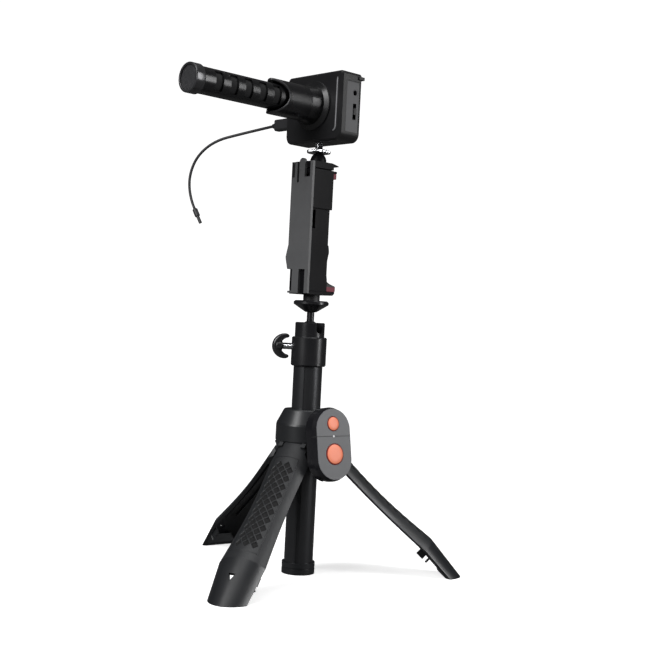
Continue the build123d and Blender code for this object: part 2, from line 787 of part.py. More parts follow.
def mic_grille():
    cap = ring(grille_r, mic_tube_r, mic_tube_end - 2, mic_tube_end)
    cap += ring(grille_r, 8.2, mic_tube_end, grille_end)
    cap = chamfer(cap.edges().group_by(Axis.Z)[-1].sort_by(SortBy.RADIUS)[-1], 0.7)
    return forward(cap + post(8.3, grille_end - 2.0, grille_end - 1.2))


def mic_plug():
    """Moulded plug in the case's side, with its pin and a short boot for the cable."""
    x0 = -mic_half - plug_length
    body = block(x0, -mic_half, -plug_depth / 2, plug_depth / 2,
                 plug_z - plug_height / 2, plug_z + plug_height / 2)
    body = fillet(body.edges().filter_by(Axis.X), 1.6)
    body += Pos(x0 - boot_length / 2, 0, plug_z) * Rot(0, -90, 0) * Cone(2.4, 1.7, boot_length)
    return body + Pos(-mic_half + 4, 0, plug_z) * Rot(0, 90, 0) * Cylinder(1.75, 10)


nodes["mic_front_shell"] = mic_front_shell()
nodes["mic_rear_shell"] = mic_rear_shell()
nodes["mic_base_plate"] = block(-22, 22, -5.5, 10.5, mic_foot, mic_foot + 1.2) - stud_hole()
nodes["mic_collar"] = mic_collar()
nodes["mic_tube"] = mic_tube()
nodes["mic_grille"] = mic_grille()
liner_r = mic_tube_r - mic_tube_wall - glue
nodes["mic_capsule"] = forward(post(liner_r + glue, 14, 26))
nodes["mic_liner"] = forward(ring(liner_r, liner_r - liner_wall, 27, mic_tube_end - 1))
nodes["mic_board"] = block(-14, 16, 0.6, 1.8, mic_foot + 10, mic_top - 6)
barrel = Pos(mic_half - 0.6 - jack_length / 2, side_y, jack_z) * Rot(0, 90, 0)
nodes["mic_jack"] = barrel * (Cylinder(2.9, jack_length) - Pos(0, 0, 1) * Cylinder(jack_r, jack_length))
nodes["mic_switch"] = (
    block(mic_half - 2.0, mic_half + 0.4, side_y - 1.2, side_y + 1.2, switch_z - 2.2, switch_z + 2.2)
    + block(mic_half - 3.6, mic_half - 2.6, side_y - 1.2, side_y + 1.2, switch_z - 3.0, switch_z + 3.0)
    + block(mic_half - 2.7, mic_half - 1.9, side_y - 1.2, side_y + 1.2, switch_z - 2.2, switch_z + 2.2)
)
nodes["mic_plug"] = mic_plug()


# ---------------------------------------------------------------- cable


def cable_radii():
    """Radius at each corner: 0.45 of the shorter run over the tangent of half the turn."""
    points = [Vector(*p) for p in cable_points]
    radii = []
    for before, here, after in zip(points, points[1:], points[2:]):
        turn = radians((here - before).get_angle(after - here))
        shorter = min((here - before).length, (after - here).length)
        radii.append(0.45 * shorter / tan(turn / 2))
    return radii


def cable_path():
    return FilletPolyline(*cable_points, radius=cable_radii())


def cable():
    path = cable_path()
    section_plane = Plane(origin=path @ 0, z_dir=path % 0)
    return sweep(section_plane * Circle(cable_d / 2), path=path)


def device_plug():
    """Slim straight plug on the cable's far end."""
    end = Vector(*cable_points[-1])
    along = (end - Vector(*cable_points[-2])).normalized()
    plane = Plane(origin=end, z_dir=along)
    body = Pos(0, 0, end_plug_length / 2) * Cylinder(end_plug_r, end_plug_length)
    body = chamfer(body.edges().sort_by(Axis.Z)[0], 0.9)
    tip = Pos(0, 0, end_plug_length + end_tip_length / 2) * Cylinder(end_tip_r, end_tip_length)
    return plane * (body + tip)


nodes["mic_cable"] = cable()
nodes["device_plug"] = device_plug()

print("cable radii", [round(r, 1) for r in cable_radii()])
length = cable_path().length
print("cable length", round(length, 1), "volume ratio",
      round(nodes["mic_cable"].volume / (length * 3.14159265 * cable_d ** 2 / 4), 4))

os.makedirs("parts", exist_ok=True)
for name, part in nodes.items():
    solids = part if isinstance(part, list) else [part]
    solids = [solid for item in solids for solid in item.solids()]
    export_step(solids[0] if len(solids) == 1 else Compound(children=solids), f"parts/{name}.step")
print(len(nodes), "nodes")
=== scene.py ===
import json
import math

import bpy
import bmesh
import numpy as np
from bpy.props import FloatProperty, FloatVectorProperty, IntProperty, PointerProperty
from mathutils import Matrix, Vector


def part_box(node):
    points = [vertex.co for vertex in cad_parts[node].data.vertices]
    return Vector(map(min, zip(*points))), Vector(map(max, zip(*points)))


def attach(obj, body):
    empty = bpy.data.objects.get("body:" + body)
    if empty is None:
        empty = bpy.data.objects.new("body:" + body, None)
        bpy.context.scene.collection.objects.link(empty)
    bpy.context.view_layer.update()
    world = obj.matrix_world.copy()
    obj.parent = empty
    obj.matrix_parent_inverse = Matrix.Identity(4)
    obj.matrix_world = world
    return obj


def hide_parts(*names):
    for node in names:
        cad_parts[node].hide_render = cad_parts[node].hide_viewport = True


bl_info = {
    "name": "Selfie stick finish",
    "version": (1, 0, 0),
    "blender": (4, 5, 0),
    "location": "View3D > Sidebar > Stick",
    "description": "Finishes and fine pieces for a folding selfie stick with a shotgun microphone",
    "category": "Object",
}

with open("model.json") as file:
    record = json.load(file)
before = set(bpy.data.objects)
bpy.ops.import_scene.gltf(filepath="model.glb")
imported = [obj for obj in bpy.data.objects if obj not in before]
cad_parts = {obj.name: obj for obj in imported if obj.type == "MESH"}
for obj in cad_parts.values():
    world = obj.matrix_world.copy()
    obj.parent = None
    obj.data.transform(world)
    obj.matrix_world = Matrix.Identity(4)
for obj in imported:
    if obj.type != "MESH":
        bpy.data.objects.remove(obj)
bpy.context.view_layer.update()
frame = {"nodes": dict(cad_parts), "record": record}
NODES = frame["nodes"]
MM = 0.001

# ------------------------------------------------------------------ places, in millimetres

LEG_AZIMUTHS = (22.84, 142.84, -97.16)
LEG_PIVOT = (13.0, 94.3)
LEG_SPLAY = 47.0
LEG_CURVE = ((0.5, 17.4), (30.0, 16.3), (60.0, 16.0), (88.0, 17.7), (106.0, 19.4))
REMOTE_AZIMUTH = 82.84
REMOTE_TILT = 10.0
REMOTE_HINGE = (24.0, 93.0)
REMOTE_FACE = 35.0
REMOTE_GROOVE = 98.3
KNOB_AZIMUTH = -38.5
KNOB_Z = 159.8
KNURLS = 54
WING_ARCS = ((17.4, 8.9, 112.0), (14.1, 6.0, 90.0))  # centre, radius and half angle of each arc
WING_HALF_THICKNESS = 2.75
MIC_AXIS_Z = 329.5
MIC_FRONT = -7.4
GRIP_SPAN = (18.2, 99.8)
GRIP_HALF_ANGLE = 32.7
HOOD_RIM = 11.3
HOOD_HALF = 12.2
HOOD_END = 48.8
HOOD_SIDE_END = 39.4
FLARE_RIM = 16.55
GRILLE_END = 118.3
MESH_RADIUS = 8.25

# Colour areas, in metres: the case's side panel, the back plate's recess, painted near black as painted
# shade, and the height of the lower pad's crimson foot, above which its slope is painted near black as
# painted shade.
CASE_PANEL = ((0.0272, -0.0024, 0.3105), (0.0279, 0.0101, 0.3455))
PLATE_SHADE_BOX = ((-0.0101, -0.0146, 0.2786), (-0.0074, -0.0120, 0.2950))
PAD_SHADE_LEVEL = 0.0034

# The microphone's lead, in metres: the same points as its solid follows.
CABLE_ROUTE = (
    (-0.0500, 0.0000, 0.3206),
    (-0.0600, -0.0010, 0.3196),
    (-0.0780, -0.0080, 0.3159),
    (-0.0960, -0.0175, 0.3110),
    (-0.1095, -0.0235, 0.2998),
    (-0.1153, -0.0260, 0.2840),
    (-0.1134, -0.0253, 0.2675),
    (-0.1092, -0.0238, 0.2594),
)


class StickLookSettings(bpy.types.PropertyGroup):
    """Sizes and colours of the finish that a user may change."""

    diamond_width: FloatProperty(
        name="Diamond width", description="Pitch of the grip's diamonds across the leg",
        default=6.1 * MM, min=0.002, max=0.02, unit="LENGTH")
    diamond_length: FloatProperty(
        name="Diamond length", description="Pitch of the grip's diamonds along the leg",
        default=7.2 * MM, min=0.002, max=0.02, unit="LENGTH")
    diamond_depth: FloatProperty(
        name="Diamond depth", description="How far the diamonds sink into the rubber",
        default=0.75 * MM, min=0.0, max=0.0009, unit="LENGTH")
    cable_diameter: FloatProperty(
        name="Cable diameter", description="Diameter of the microphone's lead",
        default=2.1 * MM, min=0.001, max=0.004, unit="LENGTH")
    mesh_wires: IntProperty(
        name="Mesh wires", description="Wires across the microphone's front mesh", default=24, min=8, max=60)
    leg_color: FloatVectorProperty(
        name="Leg colour", description="Moulded plastic of the legs", subtype="COLOR",
        default=(0.018, 0.019, 0.021), size=3, min=0.0, max=1.0)
    button_color: FloatVectorProperty(
        name="Button colour", description="Silicone of the remote's two keys", subtype="COLOR",
        default=(1.0, 0.27, 0.14), size=3, min=0.0, max=1.0)
    face_color: FloatVectorProperty(
        name="Remote face colour", description="Face of the remote", subtype="COLOR",
        default=(0.042, 0.044, 0.051), size=3, min=0.0, max=1.0)
    pad_color: FloatVectorProperty(
        name="Jaw pad colour", description="Silicone pads of the phone clamp", subtype="COLOR",
        default=(0.17, 0.006, 0.024), size=3, min=0.0, max=1.0)


def settings():
    return bpy.context.scene.stick_look


# ------------------------------------------------------------------ frames


def turn_about_z(points, degrees):
    """Points turned about the column by an angle."""
    a = math.radians(degrees)
    turned = points.copy()
    turned[..., 0] = points[..., 0] * math.cos(a) - points[..., 1] * math.sin(a)
    turned[..., 1] = points[..., 0] * math.sin(a) + points[..., 1] * math.cos(a)
    return turned


def lean_out(points, hinge, degrees):
    """Points whose lower side is swung outward, along +X, about a hinge (x, z) that lies along Y."""
    a = math.radians(degrees)
    x, z = points[..., 0] - hinge[0], points[..., 2] - hinge[1]
    leaned = points.copy()
    leaned[..., 0] = hinge[0] + x * math.cos(a) - z * math.sin(a)
    leaned[..., 2] = hinge[1] + x * math.sin(a) + z * math.cos(a)
    return leaned


def on_leg(points, azimuth):
    """Folded-leg millimetres to the open leg."""
    return turn_about_z(lean_out(points, LEG_PIVOT, LEG_SPLAY), azimuth - 90)


def on_remote(points):
    """Remote millimetres, drawn upright with +X outward, to the remote's place."""
    return turn_about_z(lean_out(points, REMOTE_HINGE, REMOTE_TILT), REMOTE_AZIMUTH - 90)


def on_knob(points):
    """Knob millimetres, drawn with +X outward from the column and z from the knob's height."""
    return turn_about_z(points, KNOB_AZIMUTH - 90) + np.array((0, 0, KNOB_Z))


def on_mic(points):
    """Millimetres drawn with +Z along the microphone, forward, to the microphone's axis."""
    return np.stack([points[..., 0], -points[..., 2], points[..., 1] + MIC_AXIS_Z], -1)


# ------------------------------------------------------------------ surfaces


def finish_mesh(name, points, faces, body, material, replaces=(), smooth=True, band=None):
    """Makes a closed piece from points in millimetres, welds its seams and poles and puts it on a body."""
    mesh = bpy.data.meshes.new(name)
    mesh.from_pydata((np.asarray(points).reshape(-1, 3) * MM).tolist(), [], faces)
    if band is not None:
        share = mesh.attributes.new("band", "FLOAT", "POINT")
        share.data.foreach_set("value", np.asarray(band, np.float32).ravel())
    clean = bmesh.new()
    clean.from_mesh(mesh)
    bmesh.ops.remove_doubles(clean, verts=clean.verts, dist=2e-6)
    bmesh.ops.dissolve_degenerate(clean, edges=clean.edges, dist=1e-6)
    bmesh.ops.recalc_face_normals(clean, faces=clean.faces)
    clean.to_mesh(mesh)
    clean.free()
    if smooth:
        mesh.shade_smooth()
        mesh.set_sharp_from_angle(angle=math.radians(38))
    mesh.materials.append(material)
    piece = bpy.data.objects.new(name, mesh)
    bpy.context.scene.collection.objects.link(piece)
    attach(piece, body)
    if replaces:
        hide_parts(*replaces)
    return piece


def grid_faces(rows, columns, wrap_rows=False, wrap_columns=False, start=0):
    """Quads of a grid of points numbered row by row."""
    r = np.arange(rows if wrap_rows else rows - 1)
    c = np.arange(columns if wrap_columns else columns - 1)
    r, c = np.meshgrid(r, c, indexing="ij")
    r2, c2 = (r + 1) % rows, (c + 1) % columns
    quads = np.stack([r * columns + c, r * columns + c2, r2 * columns + c2, r2 * columns + c], -1)
    return (quads.reshape(-1, 4) + start).tolist()


def slab(outer, inner):
    """Two sheets of the same grid, joined round their border into a closed slab."""
    rows, columns = outer.shape[:2]
    count = rows * columns
    faces = grid_faces(rows, columns) + [f[::-1] for f in grid_faces(rows, columns, start=count)]
    border = [
        np.arange(columns),
        np.arange(rows) * columns + columns - 1,
        (rows - 1) * columns + np.arange(columns)[::-1],
        np.arange(rows)[::-1] * columns,
    ]
    for line in border:
        strip = np.stack([line[:-1], line[:-1] + count, line[1:] + count, line[1:]], -1)
        faces += strip.tolist()
    return np.concatenate([outer.reshape(-1, 3), inner.reshape(-1, 3)]), faces


def lathe(profile, steps=96, ripple=None):
    """Closed outline of (radius, height) points turned about Z.

    ripple(angle, radius, height) gives the radius where it changes round the turn.
    """
    outline = np.array(profile, float)
    angle = np.linspace(0, 2 * np.pi, steps, endpoint=False)[:, None]
    r = np.broadcast_to(outline[:, 0], (steps, len(outline)))
    z = np.broadcast_to(outline[:, 1], (steps, len(outline)))
    if ripple is not None:
        r = ripple(angle, r, z)
    points = np.stack([r * np.cos(angle), r * np.sin(angle), z], -1)
    return points, grid_faces(steps, len(outline), wrap_rows=True, wrap_columns=True)


def rounded(outline, radius, steps=5):
    """Closed outline with its corners rounded, each by (1 - t)^2 start + 2 t (1 - t) corner + t^2 end.

    The start and the end are a radius from the corner, or less where its sides are short.
    """
    points = np.array(outline, float)
    before, after = np.roll(points, 1, 0), np.roll(points, -1, 0)
    rounded_points = []
    for p, a, b in zip(points, before, after):
        to_a, to_b = a - p, b - p
        length_a, length_b = np.hypot(*to_a), np.hypot(*to_b)
        reach = min(radius, 0.45 * length_a, 0.45 * length_b)
        start, end = p + to_a / length_a * reach, p + to_b / length_b * reach
        t = np.linspace(0, 1, steps)[:, None]
        rounded_points.append((1 - t) ** 2 * start + 2 * t * (1 - t) * p + t ** 2 * end)
    return np.concatenate(rounded_points)


def spiral_thread(radius, depth, pitch, low, high, steps=48, per_turn=10):
    """Threaded rod: the radius is a triangle wave of height over pitch less the turn's share.

    The thread fades out towards both ends.
    """
    angle = np.linspace(0, 2 * np.pi, steps, endpoint=False)[:, None]
    z = np.linspace(low, high, max(4, int((high - low) / pitch * per_turn)))[None, :]
    phase = (z / pitch - angle / (2 * np.pi)) % 1.0
    r = radius - depth * np.abs(2 * phase - 1)
    lead = np.clip(np.minimum(z - low, high - z) / (0.6 * pitch), 0, 1)
    r = (radius - depth) + (r - (radius - depth)) * lead
    r = np.concatenate([np.zeros((steps, 1)), r, np.zeros((steps, 1))], 1)
    z = np.concatenate([np.full((1, 1), low), z, np.full((1, 1), high)], 1)
    z = np.broadcast_to(z, r.shape)
    points = np.stack([r * np.cos(angle), r * np.sin(angle), z], -1)
    return points, grid_faces(steps, r.shape[1], wrap_rows=True)


def ring_tube(path, radius, steps=10):
    """Round bead carried along a closed path, its circle spanned by the path's normal and binormal."""
    ahead = np.roll(path, -1, 0) - np.roll(path, 1, 0)
    ahead /= np.linalg.norm(ahead, axis=1)[:, None]
    out = path - path.mean(0)
    out -= ahead * np.sum(out * ahead, 1)[:, None]
    out /= np.linalg.norm(out, axis=1)[:, None]
    up = np.cross(ahead, out)
    a = np.linspace(0, 2 * np.pi, steps, endpoint=False)
    around = np.cos(a)[None, :, None] * out[:, None] + np.sin(a)[None, :, None] * up[:, None]
    points = path[:, None] + radius * around
    return points, grid_faces(len(path), steps, wrap_rows=True, wrap_columns=True)


# ------------------------------------------------------------------ shared effects


def new_group(name, inputs, outputs):
    """Empty shader node group with named sockets, its own input and output nodes placed."""
    group = bpy.data.node_groups.new(name, "ShaderNodeTree")
    for label, kind, value in inputs:
        socket = group.interface.new_socket(label, in_out="INPUT", socket_type=kind)
        if value is not None:
            socket.default_value = value
    for label, kind in outputs:
        group.interface.new_socket(label, in_out="OUTPUT", socket_type=kind)
    return group, group.nodes.new("NodeGroupInput"), group.nodes.new("NodeGroupOutput")


def node(tree, kind, inputs=(), **settings_of_node):
    """Adds a node, sets its properties, and fills or links its inputs by name or number."""
    made = tree.nodes.new(kind)
    for key, value in settings_of_node.items():
        setattr(made, key, value)
    for key, value in dict(inputs).items():
        if isinstance(value, bpy.types.NodeSocket):
            tree.links.new(value, made.inputs[key])
        else:
            made.inputs[key].default_value = value
    return made


def maths(tree, operation, *values):
    """Result of a maths node on numbers or sockets."""
    return node(tree, "ShaderNodeMath", dict(enumerate(values)), operation=operation).outputs[0]


def moulded_grain():
    """Fine spark-erosion grain of a moulded part: small bumps, and a roughness that drifts."""
    group, given, result = new_group(
        "moulded_grain",
        [("Vector", "NodeSocketVector", None), ("Scale", "NodeSocketFloat", 900.0),
         ("Roughness", "NodeSocketFloat", 0.5), ("Spread", "NodeSocketFloat", 0.08)],
        [("Roughness", "NodeSocketFloat"), ("Height", "NodeSocketFloat")])
    where = given.outputs["Vector"]
    fine = node(group, "ShaderNodeTexNoise", {"Vector": where, "Scale": given.outputs["Scale"],
                                              "Detail": 2.0, "Roughness": 0.6})
    broad = node(group, "ShaderNodeTexNoise", {"Vector": where, "Scale": 38.0, "Detail": 3.0})
    centred = maths(group, "SUBTRACT", broad.outputs["Fac"], 0.5)
    spread = maths(group, "MULTIPLY", maths(group, "MULTIPLY", centred, given.outputs["Spread"]), 3.0)
    total = maths(group, "ADD", spread, given.outputs["Roughness"])
    group.links.new(total, result.inputs["Roughness"])
    group.links.new(fine.outputs["Fac"], result.inputs["Height"])
    return group


def tone_drift():
    """Slow lightening and darkening of a colour over the surface, as pigment and handling give it."""
    group, given, result = new_group(
        "tone_drift",
        [("Vector", "NodeSocketVector", None), ("Color", "NodeSocketColor", (0.5, 0.5, 0.5, 1)),
         ("Scale", "NodeSocketFloat", 60.0), ("Amount", "NodeSocketFloat", 0.2)],
        [("Color", "NodeSocketColor")])
    cloud = node(group, "ShaderNodeTexNoise", {"Vector": given.outputs["Vector"],
                                               "Scale": given.outputs["Scale"],
                                               "Detail": 4.0, "Roughness": 0.65})
    centred = maths(group, "SUBTRACT", cloud.outputs["Fac"], 0.5)
    scaled = maths(group, "MULTIPLY", maths(group, "MULTIPLY", centred, given.outputs["Amount"]), 2.0)
    factor = maths(group, "ADD", scaled, 1.0)
    tinted = node(group, "ShaderNodeVectorMath", {0: given.outputs["Color"]}, operation="SCALE")
    group.links.new(factor, tinted.inputs["Scale"])
    group.links.new(tinted.outputs[0], result.inputs["Color"])
    return group


def drawn_streaks():
    """Long faint die lines of drawn tube: noise stretched along Z, as roughness and height."""
    group, given, result = new_group(
        "drawn_streaks",
        [("Vector", "NodeSocketVector", None), ("Roughness", "NodeSocketFloat", 0.35),
         ("Spread", "NodeSocketFloat", 0.1)],
        [("Roughness", "NodeSocketFloat"), ("Height", "NodeSocketFloat")])
    squeezed = node(group, "ShaderNodeMapping", {"Vector": given.outputs["Vector"],
                                                 "Scale": (1.0, 1.0, 0.02)})
    lines = node(group, "ShaderNodeTexNoise", {"Vector": squeezed.outputs[0], "Scale": 1400.0, "Detail": 2.0})
    centred = maths(group, "SUBTRACT", lines.outputs["Fac"], 0.5)
    spread = maths(group, "MULTIPLY", centred, given.outputs["Spread"])
    total = maths(group, "ADD", spread, given.outputs["Roughness"])
    group.links.new(total, result.inputs["Roughness"])
    group.links.new(lines.outputs["Fac"], result.inputs["Height"])
    return group


def edge_band():
    """Mask that is 1 where a value passes a level and 0 below it, with a soft step between."""
    group, given, result = new_group(
        "edge_band",
        [("Value", "NodeSocketFloat", 0.0), ("Level", "NodeSocketFloat", 0.8),
         ("Softness", "NodeSocketFloat", 0.1)],
        [("Mask", "NodeSocketFloat")])
    low = maths(group, "SUBTRACT", given.outputs["Level"], given.outputs["Softness"])
    high = maths(group, "ADD", given.outputs["Level"], given.outputs["Softness"])
    limits = {"Value": given.outputs["Value"], "From Min": low, "From Max": high}
    step = node(group, "ShaderNodeMapRange", limits, interpolation_type="SMOOTHSTEP")
    group.links.new(step.outputs[0], result.inputs["Mask"])
    return group


GROUPS = {}


def effect(tree, name, **inputs):
    """Places a shared effect in a material, built the first time it is asked for."""
    makers = {"moulded_grain": moulded_grain, "tone_drift": tone_drift, "drawn_streaks": drawn_streaks,
              "edge_band": edge_band}
    if name not in GROUPS:
        GROUPS[name] = makers[name]()
    placed = tree.nodes.new("ShaderNodeGroup")
    placed.node_tree = GROUPS[name]
    for label, value in inputs.items():
        if isinstance(value, bpy.types.NodeSocket):
            tree.links.new(value, placed.inputs[label])
        else:
            placed.inputs[label].default_value = value
    return placed


# ------------------------------------------------------------------ materials

MATERIALS = {}


def finish(name, color, roughness, metallic=0.0, grain=900.0, relief=0.25, spread=0.08, drift=0.18,
           coat=0.0, drawn=False, specular=0.5):
    """Moulded or drawn surface: drifting tone, drifting roughness and a fine relief."""
    material = bpy.data.materials.new(name)
    material.use_nodes = True
    tree = material.node_tree
    shader = tree.nodes["Principled BSDF"]
    where = node(tree, "ShaderNodeTexCoord").outputs["Object"]
    tone = effect(tree, "tone_drift", Vector=where, Color=(*color, 1.0), Amount=drift)
    if drawn:
        relief_of = effect(tree, "drawn_streaks", Vector=where, Roughness=roughness, Spread=spread)
    else:
        relief_of = effect(tree, "moulded_grain", Vector=where, Scale=grain, Roughness=roughness,
                           Spread=spread)
    bump = node(tree, "ShaderNodeBump", {"Strength": relief, "Distance": 0.00006,
                                         "Height": relief_of.outputs["Height"]})
    tree.links.new(tone.outputs["Color"], shader.inputs["Base Color"])
    tree.links.new(relief_of.outputs["Roughness"], shader.inputs["Roughness"])
    tree.links.new(bump.outputs["Normal"], shader.inputs["Normal"])
    shader.inputs["Metallic"].default_value = metallic
    shader.inputs["Coat Weight"].default_value = coat
    shader.inputs["Coat Roughness"].default_value = 0.12
    shader.inputs["Specular IOR Level"].default_value = specular
    MATERIALS[name] = material
    return material


def over(material, mask, color, roughness):
    """Lays a second colour and roughness over a finish where a mask is 1."""
    tree = material.node_tree
    shader = tree.nodes["Principled BSDF"]
    for socket, kind, value in (("Base Color", "RGBA", (*color, 1.0)), ("Roughness", "FLOAT", roughness)):
        below = shader.inputs[socket].links[0].from_socket
        mixed = node(tree, "ShaderNodeMix", data_type=kind)
        pair = [k for k in mixed.inputs if k.enabled and k.name in ("A", "B")]
        factor = next(k for k in mixed.inputs if k.enabled and k.name == "Factor")
        tree.links.new(mask, factor)
        tree.links.new(below, pair[0])
        pair[1].default_value = value
        tree.links.new(next(k for k in mixed.outputs if k.enabled), shader.inputs[socket])
    return material


def band_mask(material, level, softness):
    """Mask from the piece's own attribute: 1 past a level."""
    tree = material.node_tree
    value = node(tree, "ShaderNodeAttribute", attribute_name="band").outputs["Fac"]
    return effect(tree, "edge_band", Value=value, Level=level, Softness=softness).outputs["Mask"]


def distance_along(tree, direction):
    """Distance along a direction on the piece, in metres."""
    where = node(tree, "ShaderNodeTexCoord").outputs["Object"]
    return node(tree, "ShaderNodeVectorMath", {0: where, 1: tuple(direction)},
                operation="DOT_PRODUCT").outputs["Value"]


def side_mask(material, direction, level, softness):
    """Mask that is 1 where the distance along a direction passes a level, in metres."""
    tree = material.node_tree
    value = distance_along(tree, direction)
    return effect(tree, "edge_band", Value=value, Level=level, Softness=softness).outputs["Mask"]


def stripe_mask(material, direction, level, half):
    """Mask that is 1 within half a width of a level along a direction, in metres."""
    tree = material.node_tree
    off = maths(tree, "SUBTRACT", distance_along(tree, direction), level)
    return maths(tree, "LESS_THAN", maths(tree, "ABSOLUTE", off), half)


def box_mask(material, low, high):
    """Mask that is 1 inside a box given by two corners, in metres."""
    tree = material.node_tree
    where = node(tree, "ShaderNodeTexCoord").outputs["Object"]
    split = node(tree, "ShaderNodeSeparateXYZ", {0: where})
    inside = 1.0
    for axis in range(3):
        inside = maths(tree, "MULTIPLY", inside, maths(tree, "GREATER_THAN", split.outputs[axis], low[axis]))
        inside = maths(tree, "MULTIPLY", inside, maths(tree, "LESS_THAN", split.outputs[axis], high[axis]))
    return inside


def remote_direction(start, end):
    """Unit vector between two places of the remote's drawing, and how far along it the first one lies."""
    ends = on_remote(np.array((start, end)))
    direction = ends[1] - ends[0]
    return direction, float(ends[0] @ direction) * MM


def stick_materials():
    """One material for each of the record's slots."""
    look = settings()
    leg, key = tuple(look.leg_color), tuple(look.button_color)
    face, pad = tuple(look.face_color), tuple(look.pad_color)
    made = {
        "leg_plastic": finish("leg_plastic", leg, 0.46, relief=0.35, spread=0.10),
        "leg_rubber": finish("leg_rubber", (0.018, 0.019, 0.021), 0.48, grain=1500.0, relief=0.4),
        "foot_plastic": finish("foot_plastic", (0.015, 0.016, 0.018), 0.34, relief=0.15),
        "hub_plastic": finish("hub_plastic", (0.015, 0.016, 0.018), 0.36, relief=0.2),
        "tube_metal": finish("tube_metal", (0.034, 0.035, 0.038), 0.34, metallic=0.5, drawn=True, relief=0.3),
        "inner_plastic": finish("inner_plastic", (0.06, 0.06, 0.065), 0.5),
        "pin_steel": finish("pin_steel", (0.45, 0.46, 0.48), 0.32, metallic=1.0, drawn=True),
        "chrome": finish("chrome", (0.86, 0.87, 0.89), 0.12, metallic=1.0, relief=0.05, drift=0.05,
                         spread=0.05),
        "head_metal": finish("head_metal", (0.016, 0.016, 0.018), 0.30, metallic=0.2, relief=0.15),
        "knob_plastic": finish("knob_plastic", (0.014, 0.014, 0.016), 0.26, relief=0.12, coat=0.2),
        "pad_rubber": finish("pad_rubber", (0.020, 0.019, 0.021), 0.6, relief=0.4),
        "clamp_plastic": finish("clamp_plastic", (0.005, 0.005, 0.006), 0.45, relief=0.25, specular=0.10),
        "clamp_plate": finish("clamp_plate", (0.095, 0.096, 0.099), 0.46, relief=0.2),
        "crimson_pad": finish("crimson_pad", pad, 0.48, relief=0.3),
        "mic_shell": finish("mic_shell", (0.010, 0.010, 0.011), 0.38, relief=0.3, specular=0.35),
        "mic_metal": finish("mic_metal", (0.010, 0.010, 0.011), 0.26, metallic=0.3, relief=0.1),
        "mic_mesh": finish("mic_mesh", (0.040, 0.040, 0.043), 0.45, metallic=0.5, relief=0.2),
        "foam": finish("foam", (0.008, 0.008, 0.009), 0.9, grain=2500.0, relief=0.8),
        "board_green": finish("board_green", (0.03, 0.16, 0.07), 0.4),
        "cable_rubber": finish("cable_rubber", (0.014, 0.014, 0.016), 0.45, relief=0.15),
        "plug_plastic": finish("plug_plastic", (0.016, 0.016, 0.018), 0.45, relief=0.2),
        "remote_case": finish("remote_case", (0.010, 0.010, 0.012), 0.26, relief=0.1, coat=0.2),
        "remote_face": finish("remote_face", (0.010, 0.010, 0.012), 0.26, relief=0.15),
        "button_orange": finish("button_orange", key, 0.42, grain=1200.0, relief=0.15, drift=0.05),
    }
    foot = REMOTE_HINGE[1]
    out, distance = remote_direction((REMOTE_FACE, 0, foot), (REMOTE_FACE + 1, 0, foot))
    slate = side_mask(made["remote_face"], out, distance - 0.35 * MM, 0.15 * MM)
    over(made["remote_face"], slate, face, 0.40)
    # A thin near-black stripe across the face: painted shade standing for a groove.
    up, level = remote_direction((REMOTE_FACE, 0, REMOTE_GROOVE), (REMOTE_FACE, 0, REMOTE_GROOVE + 1))
    groove = stripe_mask(made["remote_face"], up, level, 0.22 * MM)
    over(made["remote_face"], groove, (0.006, 0.006, 0.007), 0.6)
    # The leg grips' sunk diamonds are painted near black: painted shade in the pits.
    over(made["leg_rubber"], band_mask(made["leg_rubber"], 0.45, 0.35), (0.0025, 0.0025, 0.003), 0.85)
    # Darker red round the outer edge of each key: painted shade where the key curves down to the face.
    over(made["button_orange"], band_mask(made["button_orange"], 0.90, 0.03), (0.22, 0.012, 0.006), 0.5)
    panel = box_mask(made["mic_shell"], *CASE_PANEL)
    over(made["mic_shell"], panel, (0.100, 0.101, 0.105), 0.55)
    # The back plate's recess is painted near black: painted shade in the hollow.
    recess = box_mask(made["clamp_plate"], *PLATE_SHADE_BOX)
    over(made["clamp_plate"], recess, (0.006, 0.006, 0.007), 0.5)
    return made


def shaded_pad():
    """The lower jaw's pad: crimson along its foot, and near black on its slope as painted shade over the same
    crimson silicone.
    """
    material = finish("pad_painted_shade", tuple(settings().pad_color), 0.48, relief=0.3)
    # Above the crimson foot the pad is painted near black: painted shade on its slope.
    slope = side_mask(material, (0.0, 0.0, 1.0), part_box("lower_jaw_pad")[0][2] + PAD_SHADE_LEVEL, 0.3 * MM)
    return over(material, slope, (0.008, 0.007, 0.008), 0.45)


def record_slots():
    """The record's material slot of each CAD node."""
    return {row["node"]: row["material_slot"] for row in frame["record"]["subparts"]}


def color_cad_nodes():
    """Gives every CAD node the material of its slot in the record."""
    slots = record_slots()
    made = stick_materials()
    for name, obj in NODES.items():
        obj.data.materials.clear()
        obj.data.materials.append(made[slots[name]])


class STICK_OT_finishes(bpy.types.Operator):
    """Makes the materials and gives them to the stick's CAD parts"""

    bl_idname = "stick.finishes"
    bl_label = "Finishes"

    def execute(self, context):
        color_cad_nodes()
        return {"FINISHED"}


# ------------------------------------------------------------------ stage


